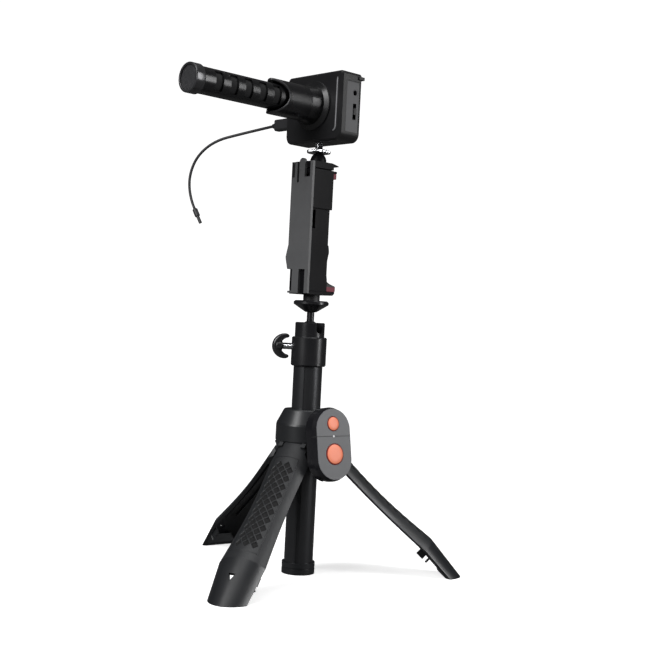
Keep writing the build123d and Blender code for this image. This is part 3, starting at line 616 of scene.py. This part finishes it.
def stage_material():
    """Near-white paper: shades softly under the feet, and is as pale as the backdrop elsewhere."""
    material = bpy.data.materials.new("studio_paper")
    material.use_nodes = True
    tree = material.node_tree
    tree.nodes.clear()
    seen = node(tree, "ShaderNodeLightPath")
    to_camera = seen.outputs["Is Camera Ray"]
    tone = node(tree, "ShaderNodeMapRange", {"Value": to_camera, "To Min": 0.16, "To Max": 0.92})
    where = node(tree, "ShaderNodeTexCoord").outputs["Object"]
    away = node(tree, "ShaderNodeVectorMath", {0: where}, operation="LENGTH").outputs["Value"]
    pale = node(tree, "ShaderNodeMapRange", {"Value": away, "From Min": 0.25, "From Max": 1.3,
                                             "To Min": 0.62, "To Max": 0.95}).outputs[0]
    dim = maths(tree, "MULTIPLY", to_camera, pale)
    paper = node(tree, "ShaderNodeBsdfDiffuse", {"Color": tone.outputs[0]})
    glow = node(tree, "ShaderNodeEmission", {"Color": (1, 1, 1, 1), "Strength": dim})
    both = node(tree, "ShaderNodeAddShader", {0: paper.outputs[0], 1: glow.outputs[0]})
    out = node(tree, "ShaderNodeOutputMaterial")
    tree.links.new(both.outputs[0], out.inputs["Surface"])
    return material


def soft_box(name, azimuth, height, distance, size, power, aim=(0.0, 0.0, 0.16)):
    """Rectangular lamp at an azimuth about the column, from -Y towards +X, turned to face the stick."""
    a = math.radians(azimuth)
    data = bpy.data.lights.new(name, "AREA")
    data.shape = "RECTANGLE"
    data.size, data.size_y = size
    data.energy = power
    lamp = bpy.data.objects.new(name, data)
    lamp.location = (distance * math.sin(a), -distance * math.cos(a), height)
    lamp.rotation_euler = (Vector(aim) - lamp.location).to_track_quat("-Z", "Y").to_euler()
    bpy.context.scene.collection.objects.link(lamp)
    return lamp


def photo_camera():
    """Camera at the picture's viewing angle, given by its distance, azimuth, height and three small turns."""
    azimuth, distance, height = 46.5, 0.81505, 0.178337
    pitch, roll, yaw = 0.002966, 0.050142, 0.012939
    focal = 1150.0 / 650.0
    data = bpy.data.cameras.new("camera")
    data.sensor_width = 36.0
    data.lens = focal * data.sensor_width
    data.clip_start = 0.01
    ahead = Vector((math.sin(yaw) * math.cos(pitch), math.cos(yaw) * math.cos(pitch), -math.sin(pitch)))
    level = Vector((math.cos(yaw), -math.sin(yaw), 0.0))
    above = level.cross(ahead)
    right = math.cos(roll) * level + math.sin(roll) * above
    up = math.cos(roll) * above - math.sin(roll) * level
    turn = Matrix.Rotation(math.radians(azimuth), 3, "Z")
    axes = turn @ Matrix((right, up, -ahead)).transposed()
    place = turn @ Vector((0.0, -distance, height))
    camera = bpy.data.objects.new("camera", data)
    camera.matrix_world = Matrix.Translation(place) @ axes.to_4x4()
    bpy.context.scene.collection.objects.link(camera)
    bpy.context.scene.camera = camera


def paper_sweep():
    """Round sheet of paper that rises at its rim: height is the radius past the flat part, squared."""
    radius = np.linspace(0.0, 4.0, 60)[:, None]
    angle = np.linspace(0, 2 * np.pi, 72, endpoint=False)[None, :]
    rise = 0.35 * np.maximum(radius - 1.6, 0) ** 2
    points = np.stack([radius * np.cos(angle), radius * np.sin(angle), rise + 0 * angle], -1)
    mesh = bpy.data.meshes.new("paper_sweep")
    mesh.from_pydata(points.reshape(-1, 3).tolist(), [], grid_faces(60, 72, wrap_columns=True))
    mesh.shade_smooth()
    mesh.materials.append(stage_material())
    floor = bpy.data.objects.new("paper_sweep", mesh)
    bpy.context.scene.collection.objects.link(floor)


def studio_world():
    """White to the camera, and a dimmer even grey as light."""
    world = bpy.data.worlds.new("studio_world")
    bpy.context.scene.world = world
    world.use_nodes = True
    tree = world.node_tree
    back = tree.nodes["Background"]
    seen = node(tree, "ShaderNodeLightPath")
    to_camera = seen.outputs["Is Camera Ray"]
    lit = node(tree, "ShaderNodeMapRange", {"Value": to_camera, "To Min": 0.08, "To Max": 1.0})
    tree.links.new(lit.outputs[0], back.inputs["Strength"])
    back.inputs["Color"].default_value = (1, 1, 1, 1)


class STICK_OT_stage(bpy.types.Operator):
    """Adds the paper floor, the studio lights and the camera"""

    bl_idname = "stick.stage"
    bl_label = "Stage"

    def execute(self, context):
        paper_sweep()
        studio_world()
        soft_box("key_light", 2.0, 0.75, 1.1, (0.45, 0.9), 13.0)
        soft_box("side_light", 118.0, 0.55, 1.2, (0.3, 0.9), 10.0)
        soft_box("top_light", 60.0, 1.6, 0.25, (1.2, 1.2), 9.0, aim=(0, 0, 0))
        photo_camera()
        context.scene.view_settings.view_transform = "Standard"
        return {"FINISHED"}


# ------------------------------------------------------------------ cable


class STICK_OT_cable(bpy.types.Operator):
    """Adds the microphone's lead along its route"""

    bl_idname = "stick.cable"
    bl_label = "Cable"

    def execute(self, context):
        look = settings()
        curve = bpy.data.curves.new("mic_lead", "CURVE")
        curve.dimensions = "3D"
        curve.bevel_depth = look.cable_diameter / 2
        curve.bevel_resolution = 5
        curve.resolution_u = 12
        curve.use_fill_caps = True
        spline = curve.splines.new("NURBS")
        spline.points.add(len(CABLE_ROUTE) - 1)
        for point, place in zip(spline.points, CABLE_ROUTE):
            point.co = (*place, 1.0)
        spline.order_u = 3
        spline.use_endpoint_u = True
        curve.materials.append(MATERIALS["cable_rubber"])
        lead = bpy.data.objects.new("mic_lead", curve)
        context.scene.collection.objects.link(lead)
        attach(lead, "mic")
        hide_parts("mic_cable")
        return {"FINISHED"}


# ------------------------------------------------------------------ leg grips


def leg_radius(s):
    """Outer radius of a folded leg at a distance s below its pivot: the smooth curve through LEG_CURVE."""
    along, radius = np.array(LEG_CURVE).T
    return np.polyval(np.polyfit(along, radius, len(LEG_CURVE) - 1), s)


def diamond_depth(u, v, width, length, depth):
    """Sunk diamonds: p = u/width + v/length and q = u/width - v/length, and a pit where both lie near a whole
    number, kept for whole diamonds inside the border, which comes to a point at the top."""
    p, q = u / width + v / length, u / width - v / length
    off = np.maximum(np.abs(p - np.round(p)), np.abs(q - np.round(q)))
    centre_u = width * (np.round(p) + np.round(q)) / 2
    centre_v = length * (np.round(p) - np.round(q)) / 2
    kept = (np.abs(centre_u) < 6.4) & (centre_v > 22 + 0.7 * np.abs(centre_u)) & (centre_v < 96.5)
    ramp = np.clip((0.44 - off) / 0.09, 0, 1)
    return depth * kept * ramp * ramp * (3 - 2 * ramp)


class STICK_OT_grips(bpy.types.Operator):
    """Adds the rubber inlays of the three legs, with their sunk diamonds"""

    bl_idname = "stick.grips"
    bl_label = "Leg grips"

    def execute(self, context):
        look = settings()
        top, foot = GRIP_SPAN
        s = np.linspace(top, foot, 262)[:, None]
        angle = np.radians(np.linspace(-GRIP_HALF_ANGLE, GRIP_HALF_ANGLE, 64))[None, :]
        radius = leg_radius(s)
        u = radius * angle
        side = radius * (math.radians(GRIP_HALF_ANGLE) - np.abs(angle))
        border = np.minimum(np.minimum(s - top, foot - s), side)
        edge = 0.12 * np.clip(1 - border / 0.8, 0, 1) ** 2
        sunk = diamond_depth(u, s, look.diamond_width / MM, look.diamond_length / MM, look.diamond_depth / MM)
        sheets = []
        for r in (radius - sunk - edge, radius - 0.93 + 0 * angle):
            r = np.broadcast_to(r, (len(s), angle.shape[1]))
            sheets.append(np.stack([r * np.cos(angle), r * np.sin(angle), LEG_PIVOT[1] - s + 0 * r], -1))
        points, faces = slab(*sheets)
        # Each point's share of the full sink, which the rubber's material turns into painted shade in the
        # pits.
        share = np.concatenate([(sunk * MM / look.diamond_depth).ravel(), np.zeros(sunk.size)])
        for number, azimuth in enumerate(LEG_AZIMUTHS, 1):
            finish_mesh(f"leg_{number}_lattice", on_leg(points, azimuth), faces, f"leg_{number}",
                        MATERIALS["leg_rubber"], replaces=[f"leg_{number}_grip"], band=share)
        return {"FINISHED"}


# ------------------------------------------------------------------ remote


def along_x(points):
    """Turned millimetres (x, y, height) laid along +X."""
    return np.stack([points[..., 2], points[..., 0], points[..., 1]], -1)


def domed_key(radius):
    """Key turned from an outline: flange, side, and a top that falls as the fifth power of the radius."""
    share = np.linspace(1.0, 0.0, 26)
    dome = np.stack([share * (radius - 0.05), REMOTE_FACE + 0.12 + 0.66 * (1 - share ** 5)], -1)
    back = REMOTE_FACE - 3.1
    foot = np.array(((0, back), (radius + 1, back), (radius + 1, back + 1), (radius - 0.05, back + 1)))
    profile = np.concatenate([foot, dome])
    points, faces = lathe(profile, steps=72)
    # The share of the radius, whose outer tenth the key's material darkens as painted shade.
    return points, faces, np.broadcast_to(profile[:, 0] / radius, points.shape[:2])


class STICK_OT_remote(bpy.types.Operator):
    """Adds the remote's two domed keys and its light, which sits on the groove; the groove itself is a dark
    stripe of painted shade on the face
    """

    bl_idname = "stick.remote"
    bl_label = "Remote"

    def execute(self, context):
        for name, radius, height, body in (("photo_key_dome", 5.0, 106.9, "photo_key"),
                                           ("video_key_dome", 7.25, 86.1, "video_key")):
            points, faces, band = domed_key(radius)
            drawn = along_x(points) + np.array((0.0, 0.0, height))
            replaced = "photo_button" if body == "photo_key" else "video_button"
            finish_mesh(name, on_remote(drawn), faces, body, MATERIALS["button_orange"],
                        replaces=[replaced], band=band)
        lens, faces = lathe(rounded(((0, 34.8), (0.75, 34.8), (0.75, 35.12), (0, 35.12)), 0.2), steps=32)
        place = np.array((0.0, 0.0, REMOTE_GROOVE))
        light_lens = finish("light_lens", (0.42, 0.43, 0.45), 0.2, relief=0.05)
        finish_mesh("remote_light", on_remote(along_x(lens) + place), faces, "remote",
                    light_lens)
        return {"FINISHED"}


# ------------------------------------------------------------------ ball head and screws


def crescent(steps=72, around=32):
    """Wings of the knob: the middle of two arcs, widened along the line between them and thickened across it,
    both by a rounded square of cosine and sine, and closed to a point at either tip."""
    t = np.linspace(-1, 1, steps)[:, None]
    turn = np.linspace(0, 2 * np.pi, around, endpoint=False)[None, :]
    (outer_centre, outer_r, outer_half), (inner_centre, inner_r, inner_half) = WING_ARCS
    outer, inner = np.radians(outer_half * t), np.radians(inner_half * t)
    ox, oz = outer_centre + outer_r * np.cos(outer), outer_r * np.sin(outer)
    ix, iz = inner_centre + inner_r * np.cos(inner), inner_r * np.sin(inner)
    close = np.sqrt(np.clip(1 - np.clip((np.abs(t) - 0.86) / 0.14, 0, 1) ** 2, 0, 1))
    c = np.sign(np.cos(turn)) * np.abs(np.cos(turn)) ** 0.75
    w = np.sign(np.sin(turn)) * np.abs(np.sin(turn)) ** 0.75
    x = (ox + ix) / 2 + (ox - ix) / 2 * c * close
    z = (oz + iz) / 2 + (oz - iz) / 2 * c * close
    y = WING_HALF_THICKNESS * w * close
    return np.stack([x, y, z], -1), grid_faces(steps, around, wrap_columns=True)


def knurl(angle, radius, height):
    """Radius of the lock disc: its rim sinks and rises as a cosine of the turn."""
    return radius - 0.22 * (radius > 7.9) * (0.5 + 0.5 * np.cos(KNURLS * angle))


class STICK_OT_head(bpy.types.Operator):
    """Adds the wing knob, the threaded screws and the knurled lock disc"""

    bl_idname = "stick.head"
    bl_label = "Head and screws"

    def execute(self, context):
        wings, faces = crescent()
        finish_mesh("knob_wings", on_knob(wings), faces, "knob", MATERIALS["knob_plastic"],
                    replaces=["wing_knob"])
        boss, faces = lathe(rounded(((0, 18.9), (3.6, 18.9), (3.6, 23.6), (0, 23.6)), 1.0), steps=48)
        finish_mesh("knob_boss", on_knob(along_x(boss)), faces, "knob",
                    MATERIALS["knob_plastic"])
        screw, faces = spiral_thread(2.5, 0.35, 0.9, 9.4, 21.5)
        finish_mesh("knob_thread", on_knob(along_x(screw)), faces, "knob", MATERIALS["chrome"],
                    replaces=["knob_screw"])
        low, high = (corner[2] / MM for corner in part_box("mic_stud"))
        stud, faces = spiral_thread(2.9, 0.45, 1.27, low, high)
        finish_mesh("stud_thread", stud, faces, "clamp", MATERIALS["chrome"], replaces=["mic_stud"])
        low, high = (corner[2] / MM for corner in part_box("lock_disc"))
        outline = rounded(((2.95, low), (8.4, low), (8.4, high), (2.95, high)), 0.5)
        disc, faces = lathe(outline, 8 * KNURLS, knurl)
        finish_mesh("knurled_disc", disc, faces, "disc", MATERIALS["chrome"],
                    replaces=["lock_disc"])
        return {"FINISHED"}


# ------------------------------------------------------------------ microphone


def relief_disc(radius, front, back, height, rings=90, spokes=300):
    """Disc whose front is a height over (x, y) and whose back is flat."""
    r = np.concatenate([np.linspace(0, radius, rings), np.linspace(radius, 0, 6)])[None, :]
    turn = np.linspace(0, 2 * np.pi, spokes, endpoint=False)[:, None]
    x, y = r * np.cos(turn), r * np.sin(turn)
    z = np.where(np.arange(r.size)[None, :] < rings, front + height(x, y), back + 0 * x)
    return np.stack([x, y, z], -1), grid_faces(spokes, r.size, wrap_rows=True)


def woven(pitch, wire):
    """Height of plain-woven round wires: each is a half circle across, and rises and falls as a cosine."""
    def height(x, y):
        def wires(across, along):
            line = np.round(across / pitch)
            off = (across / pitch - line) * pitch
            round_top = np.sqrt(np.clip(1 - (off / wire) ** 2, 0, 1)) * wire
            wave = 0.5 * wire * np.cos(np.pi * along / pitch) * (1 - 2 * (line % 2))
            return np.where(np.abs(off) < wire, round_top + wave, -1.0)
        return np.maximum(np.maximum(wires(x, y), wires(y, x + pitch)), -0.6 * wire)
    return height


def bead(path, radius, steps=12):
    """Round bead along an open path, rounded off to a point at both ends."""
    ahead = np.gradient(path, axis=0)
    ahead /= np.linalg.norm(ahead, axis=1)[:, None]
    side = np.cross(ahead, np.array((0.0, 1.0, 0.0)))
    side /= np.linalg.norm(side, axis=1)[:, None]
    up = np.cross(ahead, side)
    t = np.linspace(-1, 1, len(path))
    size = radius * np.sqrt(np.clip(1 - t ** 20, 0, 1))[:, None, None]
    a = np.linspace(0, 2 * np.pi, steps, endpoint=False)[None, :, None]
    points = path[:, None] + size * (np.cos(a) * side[:, None] + np.sin(a) * up[:, None])
    return points, grid_faces(len(path), steps, wrap_columns=True)


def hood_rim(count=220):
    """Rim of the open hood: a circle whose reach forward is cut back at the sides by a round scallop."""
    a = np.linspace(0, 2 * np.pi, count, endpoint=False)
    depth = HOOD_END - HOOD_SIDE_END
    scallop = (HOOD_HALF ** 2 + depth ** 2) / (2 * depth)
    cut_back = HOOD_SIDE_END + scallop - np.sqrt(scallop ** 2 - (HOOD_HALF * np.sin(a)) ** 2)
    return np.stack([HOOD_RIM * np.cos(a), HOOD_RIM * np.sin(a), np.minimum(HOOD_END, cut_back)], -1)


class STICK_OT_microphone(bpy.types.Operator):
    """Adds the microphone's woven front, its rims in a metal lightened as painted highlight, and a light bead
    on its case's front edge as painted highlight
    """

    bl_idname = "stick.microphone"
    bl_label = "Microphone"

    def execute(self, context):
        look = settings()
        # Lighter than the microphone's dark metal: a painted highlight for the hood and flare rims, which the
        # front ring shares.
        rim_highlight_paint = finish("rim_painted_highlight", (0.045, 0.045, 0.048), 0.24, metallic=0.4, relief=0.05)
        ring = ((8.95, GRILLE_END - 7.25), (9.9, GRILLE_END - 7.25), (9.9, GRILLE_END), (8.2, GRILLE_END),
                (8.2, GRILLE_END - 5.25), (8.95, GRILLE_END - 5.25))
        points, faces = lathe(rounded(ring, 0.7), steps=128)
        finish_mesh("front_ring", on_mic(points), faces, "mic", rim_highlight_paint,
                    replaces=["mic_grille"])
        pitch = 16.4 / look.mesh_wires
        weave = woven(pitch, 0.30 * pitch)
        points, faces = relief_disc(MESH_RADIUS, GRILLE_END - 1.4, GRILLE_END - 2.1, weave)
        finish_mesh("front_mesh", on_mic(points), faces, "mic", MATERIALS["mic_mesh"])
        points, faces = ring_tube(hood_rim(), 0.86, steps=12)
        finish_mesh("hood_rim", on_mic(points), faces, "mic", rim_highlight_paint)
        a = np.linspace(0, 2 * np.pi, 160, endpoint=False)
        flare = np.stack([FLARE_RIM * np.cos(a), FLARE_RIM * np.sin(a), np.full_like(a, 0.7 - MIC_FRONT)], -1)
        points, faces = ring_tube(flare, 0.62)
        finish_mesh("flare_rim", on_mic(points), faces, "mic", rim_highlight_paint)
        # A light grey bead down the case's rounded front edge, curled at its foot: a painted highlight where
        # the edge catches the light.
        t = np.linspace(0, 1, 60)
        curl = np.clip((t - 0.86) / 0.14, 0, 1) * np.pi / 2
        path = np.stack([23.3 - 3.0 * (1 - np.cos(curl)), 0 * t + MIC_FRONT - 0.1,
                         347.6 - 34.0 * np.minimum(t, 0.86) / 0.86 - 3.0 * np.sin(curl)], -1)
        points, faces = bead(path, 0.62)
        finish_mesh("case_edge_highlight", points, faces, "mic",
                    finish("painted_edge_highlight", (0.20, 0.20, 0.21), 0.35, relief=0.1))
        return {"FINISHED"}


# ------------------------------------------------------------------ softened parts


def softened(name, source, body, material, width, segments=3):
    """Copy of a CAD part, merged, its flat faces joined, and its sharp edges rounded."""
    clean = bmesh.new()
    clean.from_mesh(NODES[source].data)
    bmesh.ops.remove_doubles(clean, verts=clean.verts, dist=2e-6)
    bmesh.ops.dissolve_limit(clean, angle_limit=math.radians(1.0), verts=clean.verts, edges=clean.edges)
    mesh = bpy.data.meshes.new(name)
    clean.to_mesh(mesh)
    clean.free()
    mesh.materials.clear()
    mesh.materials.append(material)
    mesh.shade_smooth()
    piece = bpy.data.objects.new(name, mesh)
    bpy.context.scene.collection.objects.link(piece)
    bevel = piece.modifiers.new("rounded_edges", "BEVEL")
    bevel.width = width * MM
    bevel.segments = segments
    bevel.limit_method = "ANGLE"
    bevel.angle_limit = math.radians(35)
    bevel.use_clamp_overlap = True
    piece.modifiers.new("face_normals", "WEIGHTED_NORMAL")
    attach(piece, body)
    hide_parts(source)
    return piece


class STICK_OT_clamp(bpy.types.Operator):
    """Rounds the edges of the phone clamp's parts"""

    bl_idname = "stick.clamp"
    bl_label = "Phone clamp"

    def execute(self, context):
        slots = record_slots()
        for source, body, width in (("clamp_frame", "clamp", 0.7), ("clamp_back_plate", "clamp", 0.45),
                                    ("upper_jaw", "jaw", 0.6), ("top_cap", "clamp", 0.6),
                                    ("upper_jaw_pad", "jaw", 0.5)):
            softened(f"{source}_soft", source, body, MATERIALS[slots[source]], width)
        softened("lower_jaw_pad_soft", "lower_jaw_pad", "clamp", shaded_pad(), 0.5)
        return {"FINISHED"}


STEPS = (STICK_OT_finishes, STICK_OT_stage, STICK_OT_cable, STICK_OT_grips, STICK_OT_remote, STICK_OT_head,
         STICK_OT_microphone, STICK_OT_clamp)


# ------------------------------------------------------------------ panel and run


class STICK_PT_panel(bpy.types.Panel):
    """Lists the stick's finishing steps and sizes"""

    bl_idname = "STICK_PT_panel"
    bl_label = "Selfie stick"
    bl_space_type = "VIEW_3D"
    bl_region_type = "UI"
    bl_category = "Stick"

    def draw(self, context):
        for step in STEPS:
            self.layout.operator(step.bl_idname)
        for name in StickLookSettings.__annotations__:
            self.layout.prop(context.scene.stick_look, name)


def register():
    for kind in (StickLookSettings, *STEPS, STICK_PT_panel):
        bpy.utils.register_class(kind)
    bpy.types.Scene.stick_look = PointerProperty(type=StickLookSettings)


def unregister():
    del bpy.types.Scene.stick_look
    for kind in reversed((StickLookSettings, *STEPS, STICK_PT_panel)):
        bpy.utils.unregister_class(kind)


def main():
    """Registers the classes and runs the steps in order."""
    register()
    for step in STEPS:
        group, name = step.bl_idname.split(".")
        getattr(getattr(bpy.ops, group), name)()


if __name__ == "__main__":
    main()
